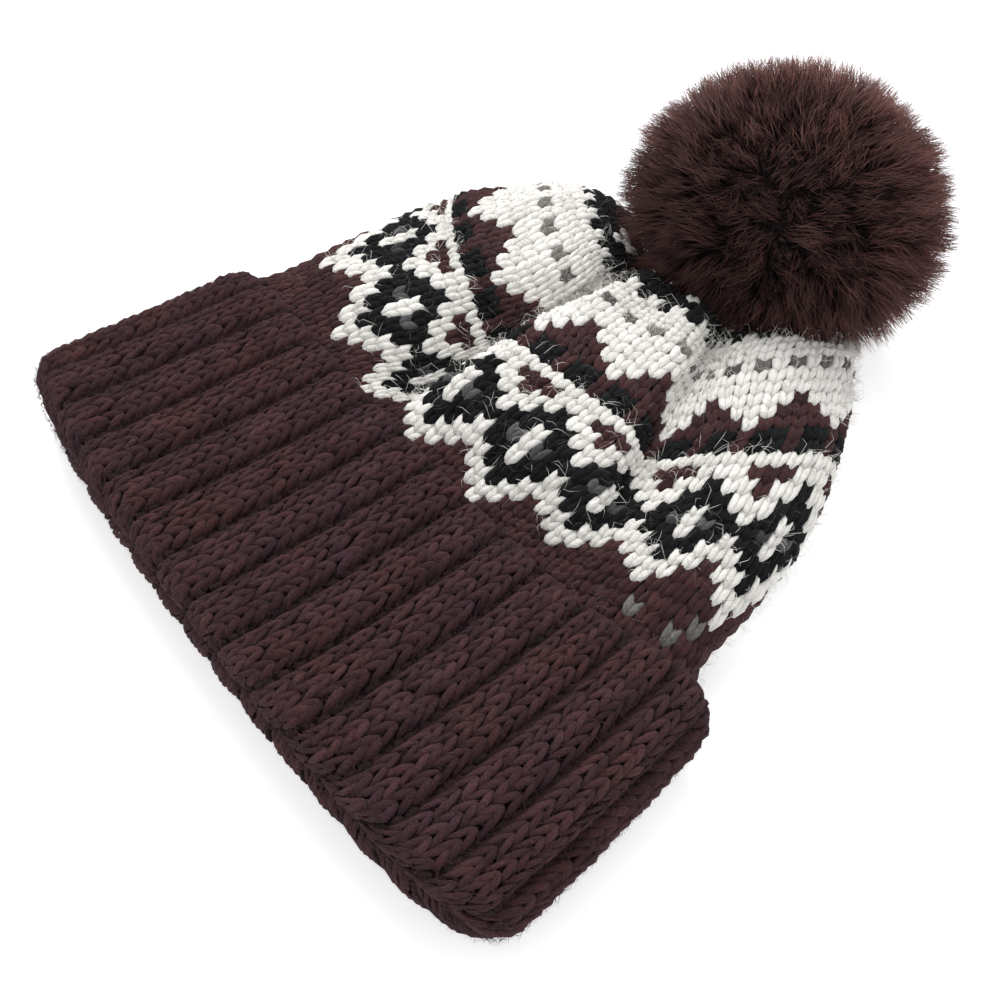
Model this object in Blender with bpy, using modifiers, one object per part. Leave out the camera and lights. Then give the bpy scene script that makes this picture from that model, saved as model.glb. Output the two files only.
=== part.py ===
"""A knitted beanie lying flat: a patterned crown, a turned-up ribbed cuff and a fur pompom.

Metres, +Z up.  The beanie lies on the plane z = 0 with the cuff's fold towards -Y and the
pompom towards +Y.  The origin is the middle of the bounding box's underside.
"""

import math
import random
from collections import namedtuple

import bmesh
import bpy
import numpy as np
from mathutils import Vector

# Cuff
CUFF_WIDTH = 0.250          # flat width, from end to end
CUFF_HEIGHT = 0.0935        # fold to free edge
CUFF_THICKNESS = 0.032      # both turned-up walls lying on each other, with the hollow between
CUFF_WALL = 0.0050          # one layer of rib knit
CUFF_SLIT = 0.0012          # air between the inner layer and the turned-up outer layer
CUFF_BOW = 0.0065           # how far the middle of the cuff is pushed towards -Y
CUFF_CORNER = 0.009         # how far the fold's corners are rounded back
INNER_LAYER = 0.0850        # height of the inner layer, hidden by the outer one
RIB_COUNT = 30              # raised ribs all the way round
RIB_RELIEF = 0.0026         # depth of the valley between two ribs
RIB_LEAN = 0.004            # sideways drift of the ribs near the fold
RIB_PROFILE = (1.0, 0.3, 0.0, 0.0, 0.0, 0.3)   # relief at each step across one rib

# Crown
CROWN_WIDTH = 0.222         # widest flat width
CROWN_LENGTH = 0.145        # cuff's inner layer to the gathered top, along the middle
CROWN_HEIGHT = 0.0465       # height of the puffed middle above the floor
CROWN_WALL = 0.0045         # one layer of stranded knit
CROWN_SIDES = 72            # faces round the crown
CROWN_RINGS = 22            # loops of faces from the cuff to the top
PUFF_LENGTH = 0.030         # how far past the cuff the crown reaches its full form

# Pompom
POMPOM_WIDTH = 0.128
POMPOM_HEIGHT = 0.107
POMPOM_REACH = 0.0475       # from the gathered top to the pompom's middle, along Y
POMPOM_SHIFT = -0.002       # sideways place of the pompom's middle
LOCK_LENGTH = 0.012         # how far the locks of fur stand out of the head
LOCK_SEED = 7

# Fits
JOIN_GAP = 0.0007           # between the cuff's inner layer and the crown
SEAT_GAP = 0.0012           # between the pompom's outline and the crown it dents

# Shape of the crown from the join to the gathered top.
# rows: share of the stitch rows.  along: share of CROWN_LENGTH.  centre: share of CROWN_WIDTH.
# width: share of CROWN_WIDTH.  tilt: degrees.  bow: share of CROWN_WIDTH.
# height and lift: top and underside as shares of CROWN_HEIGHT.
# round: 0.15 for a flat section with tight ends, 1 for an oval one.
Station = namedtuple("Station", "rows along centre width tilt bow height lift round")
STATIONS = (
    Station(0.000, 0.000, 0.000, 1.000, 0.0, 0.030, 0.60, 0.00, 0.20),
    Station(0.047, 0.045, 0.000, 1.000, 3.0, 0.090, 0.66, 0.00, 0.22),
    Station(0.109, 0.110, 0.000, 1.003, 3.0, 0.180, 0.76, 0.00, 0.25),
    Station(0.172, 0.176, -0.005, 0.977, 3.0, 0.250, 0.84, 0.00, 0.28),
    Station(0.266, 0.283, -0.009, 0.931, 4.0, 0.280, 0.90, 0.00, 0.30),
    Station(0.359, 0.393, -0.012, 0.887, 6.0, 0.270, 0.94, 0.00, 0.33),
    Station(0.453, 0.503, -0.021, 0.853, 8.0, 0.250, 0.98, 0.00, 0.37),
    Station(0.547, 0.621, -0.021, 0.780, 10.0, 0.250, 1.00, 0.00, 0.42),
    Station(0.641, 0.745, -0.024, 0.689, 12.0, 0.250, 1.00, 0.00, 0.47),
    Station(0.734, 0.869, -0.032, 0.626, 12.0, 0.210, 0.96, 0.01, 0.52),
    Station(0.812, 0.945, -0.027, 0.523, 9.0, 0.160, 0.90, 0.04, 0.58),
    Station(0.875, 0.979, -0.023, 0.396, 6.0, 0.100, 0.83, 0.10, 0.66),
    Station(0.938, 0.997, -0.018, 0.261, 3.0, 0.050, 0.75, 0.18, 0.80),
    Station(1.000, 1.000, -0.013, 0.135, 0.0, 0.010, 0.67, 0.28, 1.00),
)
BOW_POWER = 2.6             # how far out on a row of stitches its bow begins
SET_ROWS = 0.172            # share of the rows where they have their full bow

# Folds that run up to the gathered top.
# face: 1 on the upper face, -1 on the under face.  first, last: shares of the stitch rows.
# low, high: place across at the first and last row, as shares of the half width.
# depth, left, right: depth of the valley and reach of its two walls, as shares of CROWN_HEIGHT.
Fold = namedtuple("Fold", "face first last low high depth left right")
FOLDS = (
    Fold(1, 0.00, 0.84, -0.27, -0.24, 0.34, 0.40, 0.13),
    Fold(1, 0.10, 0.84, 0.53, 0.38, 0.22, 0.12, 0.30),
    Fold(1, 0.50, 0.84, -0.62, -0.60, 0.10, 0.22, 0.22),
    Fold(1, 0.55, 0.84, 0.06, 0.06, 0.07, 0.20, 0.20),
    Fold(-1, 0.30, 0.84, -0.45, -0.45, 0.14, 0.22, 0.22),
    Fold(-1, 0.34, 0.84, 0.00, 0.02, 0.14, 0.22, 0.22),
    Fold(-1, 0.30, 0.84, 0.48, 0.46, 0.14, 0.22, 0.22),
)

# Section of a lying knit tube
CUFF_ROUND = 0.15           # how rounded the cuff's ends are, on the stations' scale
WAIST = 0.44                # height of the widest line, as a share of the section
PRESS = 0.10                # how far the underside is pressed flat, as a share
DENSE = 1440                # points of an outline before it is spaced evenly


def ease(share):
    """Smooth step from 0 to 1."""
    held = np.clip(share, 0.0, 1.0)
    return held * held * (3.0 - 2.0 * held)


def mix(first, second, share):
    return first + (second - first) * share


def follow(table, position, column):
    """Reads one column of a table of stations along a smooth curve."""
    places = [row[0] for row in table]
    values = [row[column] for row in table]
    slopes = np.gradient(np.array(values), np.array(places))
    last = len(places) - 2
    k = min(max(int(np.searchsorted(places, position)) - 1, 0), last)
    span = places[k + 1] - places[k]
    u = (position - places[k]) / span
    rise = values[k + 1] - values[k]
    start = slopes[k] * span
    end = slopes[k + 1] * span
    return values[k] + u * start + u * u * (3 * rise - 2 * start - end) + u ** 3 * (start + end - 2 * rise)


def outline(half_width, top, bottom, roundness):
    """A flattened tube's section (x, z), closely spaced from the top middle towards +X."""
    angle = np.linspace(0.0, 2.0 * math.pi, DENSE, endpoint=False)
    side = np.sin(angle)
    rise = np.cos(angle)
    waist = mix(bottom, top, WAIST)
    x = half_width * np.sign(side) * np.abs(side) ** roundness
    drop = (waist - bottom) * (1.0 + PRESS)
    z = np.maximum(waist + np.where(rise >= 0.0, top - waist, drop) * rise, bottom)
    return space_evenly(np.stack([x, z], axis=1), DENSE, 0.0)


def space_evenly(ring, count, drift):
    """Evenly spaced points of a closed line, the first one at a length along it."""
    closed = np.vstack([ring, ring[:1]])
    steps = np.linalg.norm(np.diff(closed, axis=0), axis=1)
    run = np.concatenate([[0.0], np.cumsum(steps)])
    place = (np.arange(count) / count * run[-1] + drift) % run[-1]
    return np.stack([np.interp(place, run, column) for column in closed.T], axis=1)


def outward(section):
    """Unit normals that point out of a closed section."""
    along = np.roll(section, -1, axis=0) - np.roll(section, 1, axis=0)
    along /= np.linalg.norm(along, axis=1)[:, None]
    return np.stack([-along[:, 1], along[:, 0]], axis=1)


def add_ring(bm, points):
    return [bm.verts.new(point) for point in points]


def join_rings(bm, first, second):
    """Quads between two rings of the same length."""
    count = len(first)
    for k in range(count):
        n = (k + 1) % count
        bm.faces.new((first[k], first[n], second[n], second[k]))


def new_object(name, bm, collection, colour, roughness):
    bmesh.ops.recalc_face_normals(bm, faces=bm.faces)
    mesh = bpy.data.meshes.new(name)
    bm.to_mesh(mesh)
    bm.free()
    thing = bpy.data.objects.new(name, mesh)
    collection.objects.link(thing)
    material = bpy.data.materials.new(name + "_wool")
    material.use_nodes = True
    shader = material.node_tree.nodes["Principled BSDF"]
    shader.inputs["Base Color"].default_value = (*colour, 1.0)
    shader.inputs["Roughness"].default_value = roughness
    shader.inputs["Metallic"].default_value = 0.0
    mesh.materials.append(material)
    mesh.shade_smooth()
    return thing


def level(x, height):
    """Place along Y of the cuff, at places across it and a height above its fold."""
    across = np.minimum(np.abs(x) / (CUFF_WIDTH / 2.0), 1.0)
    corner = CUFF_CORNER * across ** 9 * mix(1.0, -0.4, height / CUFF_HEIGHT)
    return height + corner - CUFF_BOW * (1.0 - across * across)


def cuff_ring(depth, height, relief):
    """One loop of the cuff, at a depth under its outer face and a height above its fold."""
    count = RIB_COUNT * len(RIB_PROFILE)
    drift = -RIB_LEAN * max(1.0 - height / CUFF_HEIGHT, 0.0) ** 2
    half = CUFF_WIDTH / 2.0 - depth
    section = space_evenly(outline(half, CUFF_THICKNESS - depth, depth, CUFF_ROUND), count, drift)
    sunk = RIB_RELIEF * relief * np.tile(RIB_PROFILE, RIB_COUNT)
    section = section - outward(section) * sunk[:, None]
    return np.stack([section[:, 0], level(section[:, 0], height), section[:, 1]], axis=1)


def make_cuff(collection):
    """Outer layer with ribs, rounded fold and hidden inner layer, as one turned-up band."""
    double = 2.0 * CUFF_WALL + CUFF_SLIT
    bend = double / 2.0
    inner_face = CUFF_WALL + CUFF_SLIT
    stations = [
        (0.30 * CUFF_WALL, CUFF_HEIGHT, 0.6),
        (0.0, CUFF_HEIGHT - 0.35 * CUFF_WALL, 0.8),
        (0.0, mix(bend, CUFF_HEIGHT, 0.62), 1.0),
        (0.0, mix(bend, CUFF_HEIGHT, 0.28), 1.0),
    ]
    for angle in (0.0, 45.0, 90.0, 135.0, 180.0):
        turn = math.radians(angle)
        stations.append((bend - bend * math.cos(turn), bend - bend * math.sin(turn), 1.0 - angle / 180.0))
    stations += [
        (double, INNER_LAYER, 0.0),
        (inner_face, INNER_LAYER, 0.0),
        (inner_face, bend, 0.0),
        (CUFF_WALL, bend, 0.0),
        (CUFF_WALL, CUFF_HEIGHT - 0.25 * CUFF_WALL, 0.0),
    ]
    bm = bmesh.new()
    rings = [add_ring(bm, cuff_ring(depth, height, relief)) for depth, height, relief in stations]
    for k, ring in enumerate(rings):
        join_rings(bm, ring, rings[(k + 1) % len(rings)])
    return new_object("cuff", bm, collection, (0.052, 0.033, 0.032), 0.95)


def pompom_middle():
    """The pompom rests on the floor behind the gathered top."""
    join = level(0.0, INNER_LAYER + JOIN_GAP)
    return np.array([POMPOM_SHIFT, join + CROWN_LENGTH + POMPOM_REACH, POMPOM_HEIGHT / 2.0])


def clear_of_pompom(points):
    """Moves points out of the pompom's outline, which dents the crown."""
    middle = pompom_middle()
    wide = POMPOM_WIDTH / 2.0 + SEAT_GAP
    reach = np.array([wide, wide, POMPOM_HEIGHT / 2.0 + SEAT_GAP])
    away = points - middle
    share = np.minimum(np.linalg.norm(away / reach, axis=1), 1.0)
    return middle + away / share[:, None]


def fold_depth(section, half, rows):
    """How far the folds press in each point of a section, at a share of the stitch rows."""
    depth = np.zeros(len(section))
    face = np.sign(outward(section)[:, 1])
    for fold in FOLDS:
        climb = (rows - fold.first) / (fold.last - fold.first)
        place = mix(fold.low, fold.high, climb) * half
        apart = section[:, 0] - place
        reach = np.where(apart < 0.0, fold.left, fold.right) * CROWN_HEIGHT
        shown = ease(climb * 2.5 + 0.4) * (1.0 - ease((rows - fold.last) / (1.0 - fold.last)))
        valley = np.exp(-(apart / reach) ** 2) * (face == fold.face)
        depth += fold.depth * CROWN_HEIGHT * shown * valley
    return depth


def crown_curve(rows):
    """The crown's outline at a share of its stitch rows, as closely spaced points."""
    value = {name: follow(STATIONS, rows, k) for k, name in enumerate(Station._fields)}
    inset = CUFF_WALL + CUFF_SLIT
    half = value["width"] * CROWN_WIDTH / 2.0
    lift = max(value["lift"], 0.0) * CROWN_HEIGHT
    far = outline(half, value["height"] * CROWN_HEIGHT, lift, value["round"])
    far = far - outward(far) * fold_depth(far, half, rows)[:, None]
    near = outline(CUFF_WIDTH / 2.0 - inset, CUFF_THICKNESS - inset, inset, CUFF_ROUND)
    join = INNER_LAYER + JOIN_GAP
    tilt = math.radians(value["tilt"])
    lead = value["bow"] * CROWN_WIDTH * np.abs(far[:, 0] / half) ** BOW_POWER
    far_x = value["centre"] * CROWN_WIDTH + far[:, 0] * math.cos(tilt) - lead * math.sin(tilt)
    far_y = level(0.0, join) + far[:, 0] * math.sin(tilt) + lead * math.cos(tilt)
    y = mix(level(near[:, 0], join), far_y, ease(rows / SET_ROWS)) + value["along"] * CROWN_LENGTH
    puff = ease((y - level(near[:, 0], CUFF_HEIGHT)) / PUFF_LENGTH + 0.1)
    x = mix(near[:, 0], far_x, puff)
    z = np.maximum(mix(near[:, 1], far[:, 1], puff), mix(inset, lift, puff))
    return clear_of_pompom(np.stack([x, y, z], axis=1))


def make_crown(collection):
    """The patterned shell, open at the cuff and gathered shut under the pompom."""
    bm = bmesh.new()
    rings = []
    for k in range(CROWN_RINGS + 1):
        curve = crown_curve(k / CROWN_RINGS)
        rings.append(add_ring(bm, space_evenly(curve, CROWN_SIDES, 0.0)))
    for first, second in zip(rings, rings[1:]):
        join_rings(bm, first, second)
    tip = bm.verts.new(sum((vert.co for vert in rings[-1]), Vector()) / CROWN_SIDES)
    for k in range(CROWN_SIDES):
        bm.faces.new((rings[-1][k], rings[-1][(k + 1) % CROWN_SIDES], tip))
    crown = new_object("crown", bm, collection, (0.42, 0.38, 0.34), 0.95)
    wall = crown.modifiers.new("knit wall", "SOLIDIFY")
    wall.thickness = CROWN_WALL
    wall.offset = -1.0
    wall.use_rim = True
    return crown


def make_pompom(collection):
    """A round head with pointed locks of fur, pressed flat where it rests."""
    chance = random.Random(LOCK_SEED)
    radius = POMPOM_WIDTH / 2.0
    middle = Vector(pompom_middle())
    bm = bmesh.new()
    bmesh.ops.create_icosphere(bm, subdivisions=2, radius=radius - LOCK_LENGTH)
    head = set(bm.verts)
    bmesh.ops.poke(bm, faces=bm.faces[:])
    for vert in bm.verts:
        if vert not in head:
            stray = Vector([chance.uniform(-0.08, 0.08) for _ in range(3)])
            out = (vert.co.normalized() + stray).normalized()
            vert.co = out * (radius - LOCK_LENGTH * chance.uniform(0.0, 0.15))
        vert.co.z *= POMPOM_HEIGHT / POMPOM_WIDTH
        vert.co += middle
    min(bm.verts, key=lambda vert: vert.co.z).co.z = 0.0
    return new_object("pompom", bm, collection, (0.030, 0.019, 0.018), 0.9)


def put_on_origin(things):
    """Moves every piece by the same step, so that the bounding box stands on the origin."""
    depsgraph = bpy.context.evaluated_depsgraph_get()
    corners = []
    for thing in things:
        shape = thing.evaluated_get(depsgraph).to_mesh()
        corners += [vert.co.copy() for vert in shape.vertices]
    low = Vector([min(corner[k] for corner in corners) for k in range(3)])
    high = Vector([max(corner[k] for corner in corners) for k in range(3)])
    step = Vector((-(low.x + high.x) / 2.0, -(low.y + high.y) / 2.0, -low.z))
    for thing in things:
        for vert in thing.data.vertices:
            vert.co += step


def main():
    for thing in list(bpy.data.objects):
        bpy.data.objects.remove(thing, do_unlink=True)
    beanie = bpy.data.collections.new("beanie")
    bpy.context.scene.collection.children.link(beanie)
    things = [make_cuff(beanie), make_crown(beanie), make_pompom(beanie)]
    bpy.context.view_layer.update()
    put_on_origin(things)


main()
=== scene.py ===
"""The knitted beanie, stitch by stitch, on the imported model's frame."""

import math
from collections import namedtuple

import bmesh
import bpy
import numpy as np
from mathutils import Matrix, Vector


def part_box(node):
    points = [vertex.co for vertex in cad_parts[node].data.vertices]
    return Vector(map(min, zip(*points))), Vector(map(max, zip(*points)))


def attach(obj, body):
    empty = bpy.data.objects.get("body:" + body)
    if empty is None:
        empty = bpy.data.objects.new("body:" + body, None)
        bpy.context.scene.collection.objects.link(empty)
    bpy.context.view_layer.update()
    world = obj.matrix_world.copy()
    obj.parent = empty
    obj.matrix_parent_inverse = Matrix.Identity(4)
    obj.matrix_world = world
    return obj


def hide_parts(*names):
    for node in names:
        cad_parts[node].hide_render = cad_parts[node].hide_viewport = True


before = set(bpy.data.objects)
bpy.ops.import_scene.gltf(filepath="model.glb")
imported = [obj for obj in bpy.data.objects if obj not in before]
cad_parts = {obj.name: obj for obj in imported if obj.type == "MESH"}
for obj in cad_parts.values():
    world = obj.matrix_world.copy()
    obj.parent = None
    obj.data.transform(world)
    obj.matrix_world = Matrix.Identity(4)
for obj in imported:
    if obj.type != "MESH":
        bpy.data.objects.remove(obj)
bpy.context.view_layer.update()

# Sizes shared with the solid model
CUFF_WIDTH = 0.250          # flat width, from end to end
CUFF_HEIGHT = 0.0935        # fold to free edge
CUFF_THICKNESS = 0.032      # both turned-up walls lying on each other
CUFF_WALL = 0.0050          # one layer of rib knit
CUFF_SLIT = 0.0012          # air between the inner layer and the turned-up outer layer
CUFF_BOW = 0.0065           # how far the middle of the cuff is pushed towards -Y
CUFF_CORNER = 0.009         # how far the fold's corners are rounded back
INNER_LAYER = 0.0850        # height of the inner layer, hidden by the outer one
RIB_COUNT = 30              # raised ribs all the way round
RIB_RELIEF = 0.0026         # depth of the valley between two ribs
RIB_LEAN = 0.004            # sideways drift of the ribs near the fold
CROWN_WIDTH = 0.222         # widest flat width
CROWN_LENGTH = 0.145        # cuff's inner layer to the gathered top, along the middle
CROWN_HEIGHT = 0.0465       # height of the puffed middle above the floor
PUFF_LENGTH = 0.030         # how far past the cuff the crown reaches its full form
POMPOM_WIDTH = 0.128
POMPOM_HEIGHT = 0.107
POMPOM_REACH = 0.0475       # from the gathered top to the pompom's middle, along Y
POMPOM_SHIFT = -0.002       # sideways place of the pompom's middle
JOIN_GAP = 0.0007           # between the cuff's inner layer and the crown
SEAT_GAP = 0.0012           # between the pompom's outline and the crown it dents
CUFF_ROUND = 0.15           # how rounded the cuff's ends are
WAIST = 0.44                # height of the widest line, as a share of the section
PRESS = 0.10                # how far the underside is pressed flat, as a share
DENSE = 1440                # points of an outline before it is spaced evenly
BOW_POWER = 2.6             # how far out on a row of stitches its bow begins
SET_ROWS = 0.172            # share of the rows where they have their full bow

# The crown's sections, from the cuff to the gathered top.
# rows, along: shares of the stitch rows and of the length.  centre, width: across the crown.
# tilt: degrees.  bow: lead of a row's ends.  height, lift: top and underside.  round: of the ends.
Station = namedtuple("Station", "rows along centre width tilt bow height lift round")
STATIONS = (
    Station(0.000, 0.000, 0.000, 1.000, 0.0, 0.030, 0.60, 0.00, 0.20),
    Station(0.047, 0.045, 0.000, 1.000, 3.0, 0.090, 0.66, 0.00, 0.22),
    Station(0.109, 0.110, 0.000, 1.003, 3.0, 0.180, 0.76, 0.00, 0.25),
    Station(0.172, 0.176, -0.005, 0.977, 3.0, 0.250, 0.84, 0.00, 0.28),
    Station(0.266, 0.283, -0.009, 0.931, 4.0, 0.280, 0.90, 0.00, 0.30),
    Station(0.359, 0.393, -0.012, 0.887, 6.0, 0.270, 0.94, 0.00, 0.33),
    Station(0.453, 0.503, -0.021, 0.853, 8.0, 0.250, 0.98, 0.00, 0.37),
    Station(0.547, 0.621, -0.021, 0.780, 10.0, 0.250, 1.00, 0.00, 0.42),
    Station(0.641, 0.745, -0.024, 0.689, 12.0, 0.250, 1.00, 0.00, 0.47),
    Station(0.734, 0.869, -0.032, 0.626, 12.0, 0.210, 0.96, 0.01, 0.52),
    Station(0.812, 0.945, -0.027, 0.523, 9.0, 0.160, 0.90, 0.04, 0.58),
    Station(0.875, 0.979, -0.023, 0.396, 6.0, 0.100, 0.83, 0.10, 0.66),
    Station(0.938, 0.997, -0.018, 0.261, 3.0, 0.050, 0.75, 0.18, 0.80),
    Station(1.000, 1.000, -0.013, 0.135, 0.0, 0.010, 0.67, 0.28, 1.00),
)

# The crown's soft folds.  face: 1 for the upper side.  first, last: shares of the rows.
# low, high: place across at those rows.  depth, left, right: shares of the crown's height.
Fold = namedtuple("Fold", "face first last low high depth left right")
FOLDS = (
    Fold(1, 0.00, 0.84, -0.27, -0.24, 0.34, 0.40, 0.13),
    Fold(1, 0.10, 0.84, 0.53, 0.38, 0.22, 0.12, 0.30),
    Fold(1, 0.50, 0.84, -0.62, -0.60, 0.10, 0.22, 0.22),
    Fold(1, 0.55, 0.84, 0.06, 0.06, 0.07, 0.20, 0.20),
    Fold(-1, 0.30, 0.84, -0.45, -0.45, 0.14, 0.22, 0.22),
    Fold(-1, 0.34, 0.84, 0.00, 0.02, 0.14, 0.22, 0.22),
    Fold(-1, 0.30, 0.84, 0.48, 0.46, 0.14, 0.22, 0.22),
)

# Stitches of the crown
STITCHES = 96               # round the crown
LAST_ROW = 31
FIRST_ROW = -11
COLUMN_STEPS = 4            # samples across one stitch
ROW_STEPS = 4               # samples along one stitch

# Where chosen stitch columns lie round the crown, as shares of its girth.
COLUMNS = (-48, -21, -15, -11.5, -5, 3, 6, 12, 15, 21, 48)
Spread = namedtuple("Spread", "rows places")
SPREADS = (
    Spread(0.080, (-0.5, -0.214, -0.144, -0.108, -0.054, 0.0350, 0.067, 0.130, 0.1612, 0.2294, 0.5)),
    Spread(0.155, (-0.5, -0.196, -0.125, -0.090, -0.048, 0.0335, 0.064, 0.124, 0.1545, 0.2157, 0.5)),
    Spread(0.420, (-0.5, -0.173, -0.108, -0.074, -0.041, 0.0402, 0.071, 0.127, 0.1494, 0.2246, 0.5)),
    Spread(0.515, (-0.5, -0.184, -0.104, -0.070, -0.058, 0.0365, 0.072, 0.109, 0.1400, 0.2130, 0.5)),
    Spread(0.620, (-0.5, -0.206, -0.107, -0.072, -0.064, 0.0344, 0.077, 0.098, 0.1323, 0.2250, 0.5)),
    Spread(1.000, (-0.5, -0.206, -0.130, -0.100, -0.060, 0.0344, 0.070, 0.115, 0.1500, 0.2250, 0.5)),
)

# Where chosen rows of stitches lie, at chosen columns.
# row4 to row22: share of the crown's rows.  pitch: length of a row below the fourth.
Climb = namedtuple("Climb", "column row4 row7 row13 row18 row22 pitch")
CLIMBS = (
    Climb(-48, 0.155, 0.240, 0.420, 0.590, 0.710, 0.0051),
    Climb(-21, 0.171, 0.255, 0.445, 0.635, 0.745, 0.0063),
    Climb(-15, 0.158, 0.245, 0.450, 0.620, 0.730, 0.0052),
    Climb(-3, 0.167, 0.250, 0.421, 0.610, 0.668, 0.0050),
    Climb(3, 0.151, 0.245, 0.417, 0.588, 0.645, 0.0048),
    Climb(9, 0.150, 0.225, 0.371, 0.560, 0.640, 0.0042),
    Climb(15, 0.150, 0.205, 0.396, 0.575, 0.665, 0.0051),
    Climb(21, 0.146, 0.190, 0.442, 0.600, 0.700, 0.0076),
    Climb(48, 0.155, 0.240, 0.420, 0.590, 0.710, 0.0051),
)
CLIMB_ROWS = (4.0, 7.0, 13.0, 18.5, 22.0, 33.0)

# Colours of the pattern from row 0 up, for the six stitches that repeat.
# W white, K black, B brown, G grey, D dark grey.
CHART = (
    "BBBWBB", "BBWWWB", "BWWKWW", "WWKKKW", "WKKWKK", "KKDWDK", "WKKWKK", "WWKKKW",
    "BWWKWW", "BBWWWB", "WWWWWW", "BKKBKK", "BKKBKK", "BBBWBB", "BBWWWB", "BWWWWW",
    "WWWWWW", "WWWWWW", "WGWGWG", "WWWWWW", "WWWWWW", "WWWWWW", "KWKWKW", "KKKKKK",
    "KKKWKK", "KKWWWK", "KKKWKK", "KKKKKK", "KKKKKK", "BBBBBB",
)
FLECKS = ((-2, 16), (-2, 19), (-1, 20))     # pale single stitches, as (row, column)

# Stitches of the cuff
V_PLACES = (0.21, 0.50, 0.79)   # the columns of a rib, as shares of its pitch
V_PITCH = 0.0048            # length of a row of the cuff's stitches
V_WIDTH = 0.29              # width of a column, as a share of a rib's pitch
FIRST_V = 0.0012            # run of the first row from the free edge
PAST_FOLD = 0.012           # how far the stitches go on round the fold
CUFF_RUN = 0.150            # knit sampled, from the free edge round the fold and up inside
RUN_STEP = 0.0016           # samples along the cuff's knit
AROUND_STEPS = 16           # samples across one rib

# Where the knit departs from the solids' outline
EDGE_SINK = 0.0016          # how far the cuff's free edge rolls in
RELIEF_GAIN = 1.60          # how much deeper the ribs' valleys are than the solid's
SQUASH = 0.0015             # stitches lower than this are pressed flat on the floor
SIDE_TUCK = 0.0060          # how far the crown's right edge draws in above the cuff
LOBE_RISE = 0.0055          # how far the left lobe swells beside the pompom
LOBE_PLACE = -0.046         # its middle, along X
LOBE_REACH = 0.022          # its spread, along X
FLARE = (-0.003, 0.007, 0.004)   # how far the cuff's upper right corner stands out
FLARE_START = 0.060         # where the flare begins and how far it takes to grow, along X
CLOTH_SINK = 0.0017         # how far the crown's cloth lies under its outline
CUFF_CLOTH_SINK = 0.0016    # the same for the cuff's
CLOTH_WALL = 0.0030         # thickness of the crown's cloth

# Fur and loose fibres
HAIRS = 34000               # before those underneath are thinned
CLUMPS = 900                # locks that the hairs lean into
HAIR_RADIUS = 0.00021
Hang = namedtuple("Hang", "x y z reach")
HANGS = (Hang(-0.66, -0.74, -0.11, 0.07), Hang(0.92, 0.17, -0.33, 0.07))    # where it is longest
CORE_SHARE = 0.80           # size of the dark core, as a share of the pompom's
ROOT_SHARE = 0.79           # where the hairs start, as a share of the pompom's size
FLOOR_GAP = 0.0003          # lowest place of a hair above the floor
FIBRE_ROOT = 0.0010         # how far above the knit's outline the loose fibres start
CROWN_FIBRES = 8600         # tried over the whole crown
CROWN_FIBRE_LENGTH = 0.0055
WHITE_FIBRE_SIZE = 0.00011
DARK_FIBRE_SIZE = 0.00005
CUFF_FIBRES = 36000         # tried over the whole cuff
CUFF_FIBRE_LENGTH = 0.0034
CUFF_FIBRE_SIZE = 0.00008

# Camera, measured from the photograph in the cuff's own frame
CAMERA_PLACE = (0.1376, -0.0442, 0.2782)
CAMERA_RIGHT = (0.6616, 0.7413, 0.1131)
CAMERA_DOWN = (0.6532, -0.4956, -0.5725)
CAMERA_LENS = 33.23

# Studio light
KEY_PLACE = (-0.60, 0.30, 0.85)
KEY_SIZE = 0.8
KEY_POWER = 9.0
FLOOR_GLOW = 0.42           # keeps the floor as pale as the photograph's
SKY_STRENGTH = 0.86

SEED = 11
rng = np.random.default_rng(SEED)
SHIFT = np.array([0.0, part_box("cuff")[0].y + CUFF_BOW, 0.0])


def ease(share):
    """Smooth step from 0 to 1."""
    held = np.clip(share, 0.0, 1.0)
    return held * held * (3.0 - 2.0 * held)


def mix(first, second, share):
    return first + (second - first) * share


def follow(table, position, column):
    """Reads one column of a table of stations along a smooth curve."""
    places = [row[0] for row in table]
    values = [row[column] for row in table]
    slopes = np.gradient(np.array(values), np.array(places))
    last = len(places) - 2
    k = min(max(int(np.searchsorted(places, position)) - 1, 0), last)
    span = places[k + 1] - places[k]
    u = (position - places[k]) / span
    rise = values[k + 1] - values[k]
    start = slopes[k] * span
    end = slopes[k + 1] * span
    return values[k] + u * start + u * u * (3 * rise - 2 * start - end) + u ** 3 * (start + end - 2 * rise)


def outline(half_width, top, bottom, roundness):
    """A flattened tube's section (x, z), closely spaced from the top middle towards +X."""
    angle = np.linspace(0.0, 2.0 * math.pi, DENSE, endpoint=False)
    side = np.sin(angle)
    rise = np.cos(angle)
    waist = mix(bottom, top, WAIST)
    x = half_width * np.sign(side) * np.abs(side) ** roundness
    drop = (waist - bottom) * (1.0 + PRESS)
    z = np.maximum(waist + np.where(rise >= 0.0, top - waist, drop) * rise, bottom)
    return space_evenly(np.stack([x, z], axis=1), np.arange(DENSE) / DENSE)


def space_evenly(ring, shares, drift=0.0):
    """Points of a closed line at shares of its length, the first one at a length along it."""
    closed = np.vstack([ring, ring[:1]])
    steps = np.linalg.norm(np.diff(closed, axis=0), axis=1)
    run = np.concatenate([[0.0], np.cumsum(steps)])
    place = (np.asarray(shares) * run[-1] + drift) % run[-1]
    return np.stack([np.interp(place, run, column) for column in closed.T], axis=1)


def outward(section):
    """Unit normals that point out of a closed section."""
    along = np.roll(section, -1, axis=0) - np.roll(section, 1, axis=0)
    along /= np.linalg.norm(along, axis=1)[:, None]
    return np.stack([-along[:, 1], along[:, 0]], axis=1)


def level(x, height):
    """Place along Y of the cuff, at places across it and a height above its fold."""
    across = np.minimum(np.abs(x) / (CUFF_WIDTH / 2.0), 1.0)
    corner = CUFF_CORNER * across ** 9 * mix(1.0, -0.4, height / CUFF_HEIGHT)
    return height + corner - CUFF_BOW * (1.0 - across * across)


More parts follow.
